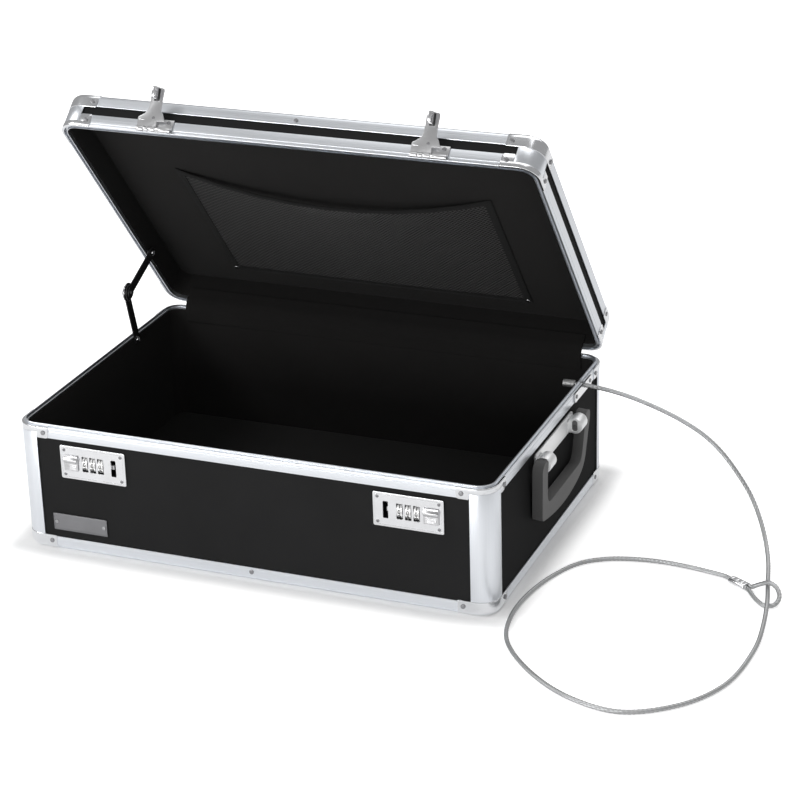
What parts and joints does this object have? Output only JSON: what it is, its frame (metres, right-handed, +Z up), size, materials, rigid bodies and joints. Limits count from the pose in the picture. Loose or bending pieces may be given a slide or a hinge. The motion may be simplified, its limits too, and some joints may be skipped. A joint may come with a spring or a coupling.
{
  "type": "portable car safe",
  "caption": "Aluminium-edged portable car safe, lid held open by a stay, with two combination locks, side handle, net pocket and a wire-rope tether.",
  "frame": {"origin": "centre of the underside, on the surface it rests on", "axes": "+X to the right as the front is seen, +Y towards the hinges, +Z up"},
  "size_m": [0.6661, 0.4482, 0.3982],
  "materials": {
    "edging": "satin",
    "skin": "satin",
    "lining": "matte",
    "netting": "matte",
    "bright": "polished",
    "dial": "satin",
    "plate": "satin",
    "case_steel": "matte",
    "arm_steel": "satin",
    "wire": "satin",
    "grip": "satin"
  },
  "bodies": {
    "base": {"base_front_panel": "skin", "base_back_panel": "skin", "base_left_panel": "skin", "base_right_panel": "skin", "base_floor_panel": "skin", "base_rim_frame": "edging", "base_bottom_frame": "edging", "base_wall_lining": "lining", "base_floor_lining": "lining", "hinge_line_lining": "lining", "hinge_left_base_leaf": "bright", "hinge_right_base_leaf": "bright", "lock_left_plate": "bright", "lock_right_plate": "bright", "lock_left_case": "case_steel", "lock_right_case": "case_steel", "handle_bracket": "bright", "name_plate": "plate", "tether_rope": "wire", "tether_eye": "wire", "tether_ferrule": "wire", "tether_stop_sleeve": "wire", "tether_notch_plate": "bright", "base_corner_post_back_right": "edging", "base_corner_post_back_left": "edging", "base_corner_post_front_left": "edging", "base_corner_post_front_right": "edging"},
    "lid": {"lid_front_panel": "skin", "lid_back_panel": "skin", "lid_left_panel": "skin", "lid_right_panel": "skin", "lid_top_panel": "skin", "lid_rim_frame": "edging", "lid_top_frame": "edging", "lid_wall_lining": "lining", "lid_top_lining": "lining", "lid_net_pocket": "netting", "hinge_left_lid_leaf": "bright", "hinge_right_lid_leaf": "bright", "hasp_left_fixed_leaf": "bright", "hasp_right_fixed_leaf": "bright", "lid_corner_post_back_right": "edging", "lid_corner_post_back_left": "edging", "lid_corner_post_front_left": "edging", "lid_corner_post_front_right": "edging"},
    "hasp_left": {"hasp_left_swinging_leaf": "bright"},
    "hasp_right": {"hasp_right_swinging_leaf": "bright"},
    "stay_lower": {"stay_lower_arm": "arm_steel", "stay_spring_washer": "bright"},
    "stay_upper": {"stay_upper_arm": "arm_steel"},
    "handle": {"handle_grip": "grip"},
    "dial_left_1": {"lock_left_dial_1": "dial"},
    "dial_left_2": {"lock_left_dial_2": "dial"},
    "dial_left_3": {"lock_left_dial_3": "dial"},
    "slide_left": {"lock_left_latch_slide": "bright"},
    "dial_right_1": {"lock_right_dial_1": "dial"},
    "dial_right_2": {"lock_right_dial_2": "dial"},
    "dial_right_3": {"lock_right_dial_3": "dial"},
    "slide_right": {"lock_right_latch_slide": "bright"}
  },
  "joints": [
    {"name": "lid_hinge", "type": "hinge", "parent": "base", "child": "lid", "pos_m": [0, 0.1566, 0.118], "axis": [-1, 0, 0], "range_deg": [-50.9, 0], "deforming": ["hinge_line_lining"]},
    {"name": "stay_lower_pivot", "type": "hinge", "parent": "base", "child": "stay_lower", "pos_m": [-0.21585, 0.0685, 0.1137], "axis": [-1, 0, 0], "range_deg": [-71.2, 0]},
    {"name": "stay_upper_pivot", "type": "hinge", "parent": "lid", "child": "stay_upper", "pos_m": [-0.21585, 0.10437, 0.18908], "axis": [-1, 0, 0], "range_deg": [0, 71.2]},
    {"name": "hasp_left_swing", "type": "hinge", "parent": "lid", "child": "hasp_left", "pos_m": [-0.1275, -0.03854, 0.36081], "axis": [1, 0, 0], "range_deg": [0, 154]},
    {"name": "dial_left_1_turn", "type": "hinge", "parent": "base", "child": "dial_left_1", "pos_m": [-0.1554, -0.1467, 0.0877], "axis": [1, 0, 0], "continuous": true},
    {"name": "dial_left_2_turn", "type": "hinge", "parent": "base", "child": "dial_left_2", "pos_m": [-0.1478, -0.1467, 0.0877], "axis": [1, 0, 0], "continuous": true},
    {"name": "dial_left_3_turn", "type": "hinge", "parent": "base", "child": "dial_left_3", "pos_m": [-0.1402, -0.1467, 0.0877], "axis": [1, 0, 0], "continuous": true},
    {"name": "slide_left_push", "type": "slide", "parent": "base", "child": "slide_left", "axis": [-1, 0, 0], "range_m": [0, 0.0035], "stiffness_N_per_m": 300, "springref_m": -0.001},
    {"name": "hasp_right_swing", "type": "hinge", "parent": "lid", "child": "hasp_right", "pos_m": [0.1275, -0.03854, 0.36081], "axis": [1, 0, 0], "range_deg": [0, 154]},
    {"name": "dial_right_1_turn", "type": "hinge", "parent": "base", "child": "dial_right_1", "pos_m": [0.1402, -0.1467, 0.0877], "axis": [1, 0, 0], "continuous": true},
    {"name": "dial_right_2_turn", "type": "hinge", "parent": "base", "child": "dial_right_2", "pos_m": [0.1478, -0.1467, 0.0877], "axis": [1, 0, 0], "continuous": true},
    {"name": "dial_right_3_turn", "type": "hinge", "parent": "base", "child": "dial_right_3", "pos_m": [0.1554, -0.1467, 0.0877], "axis": [1, 0, 0], "continuous": true},
    {"name": "slide_right_push", "type": "slide", "parent": "base", "child": "slide_right", "axis": [1, 0, 0], "range_m": [0, 0.0035], "stiffness_N_per_m": 300, "springref_m": -0.001},
    {"name": "handle_swing", "type": "hinge", "parent": "base", "child": "handle", "pos_m": [0.22965, 0.0065, 0.0946], "axis": [0, -1, 0], "range_deg": [0, 100]}
  ],
  "couplings": [
    {"joint": "stay_lower_pivot", "follows": "lid_hinge", "ratio": 1.395},
    {"joint": "stay_upper_pivot", "follows": "lid_hinge", "ratio": -1.395}
  ]
}
